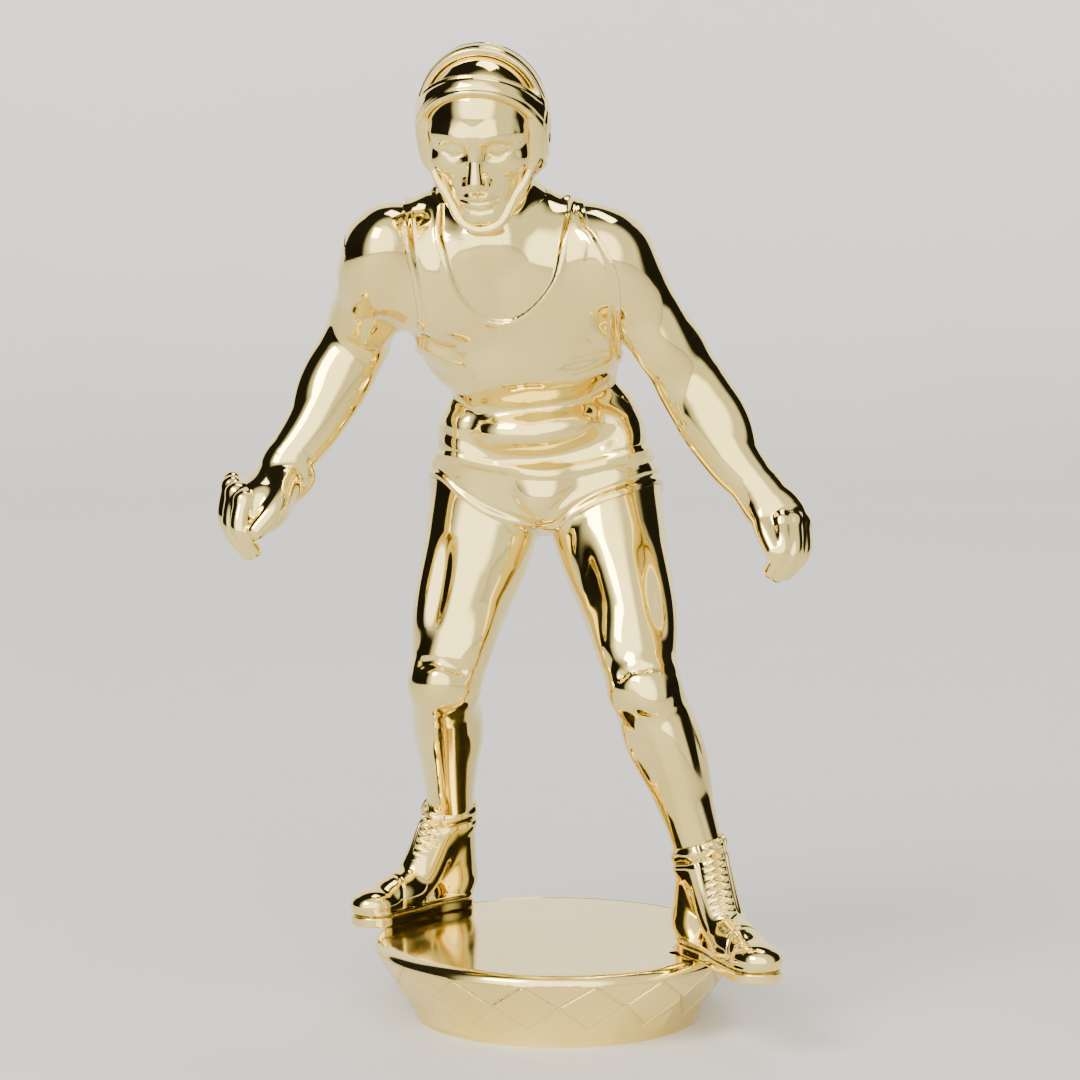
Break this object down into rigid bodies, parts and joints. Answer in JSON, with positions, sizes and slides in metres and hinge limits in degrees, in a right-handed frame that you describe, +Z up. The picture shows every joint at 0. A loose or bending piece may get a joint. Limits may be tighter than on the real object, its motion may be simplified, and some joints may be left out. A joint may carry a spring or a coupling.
{
  "type": "figure trophy",
  "caption": "Gold-plated wrestler in headgear, crouched with both arms out, standing on a round plinth with a diamond-faceted side.",
  "frame": {"origin": "centre of the bounding box in X and Y, at the plinth's underside", "axes": "+Z up; the figure faces -Y; +X is the figure's left"},
  "size_m": [0.0778, 0.0554, 0.134],
  "materials": {
    "gold_plating": "vacuum-metallised pale gold, mirror polish",
    "zinc_steel": "zinc plated",
    "white_plastic": "moulded, satin"
  },
  "bodies": {
    "root": {"plinth_shell": "gold_plating", "right_boot": "gold_plating", "left_boot": "gold_plating", "right_leg": "gold_plating", "left_leg": "gold_plating", "torso_front_shell": "gold_plating", "torso_back_shell": "gold_plating", "right_arm": "gold_plating", "left_arm": "gold_plating", "head": "gold_plating", "headgear": "gold_plating", "hex_nut": "zinc_steel", "nut_retainer": "white_plastic"}
  },
  "joints": []
}
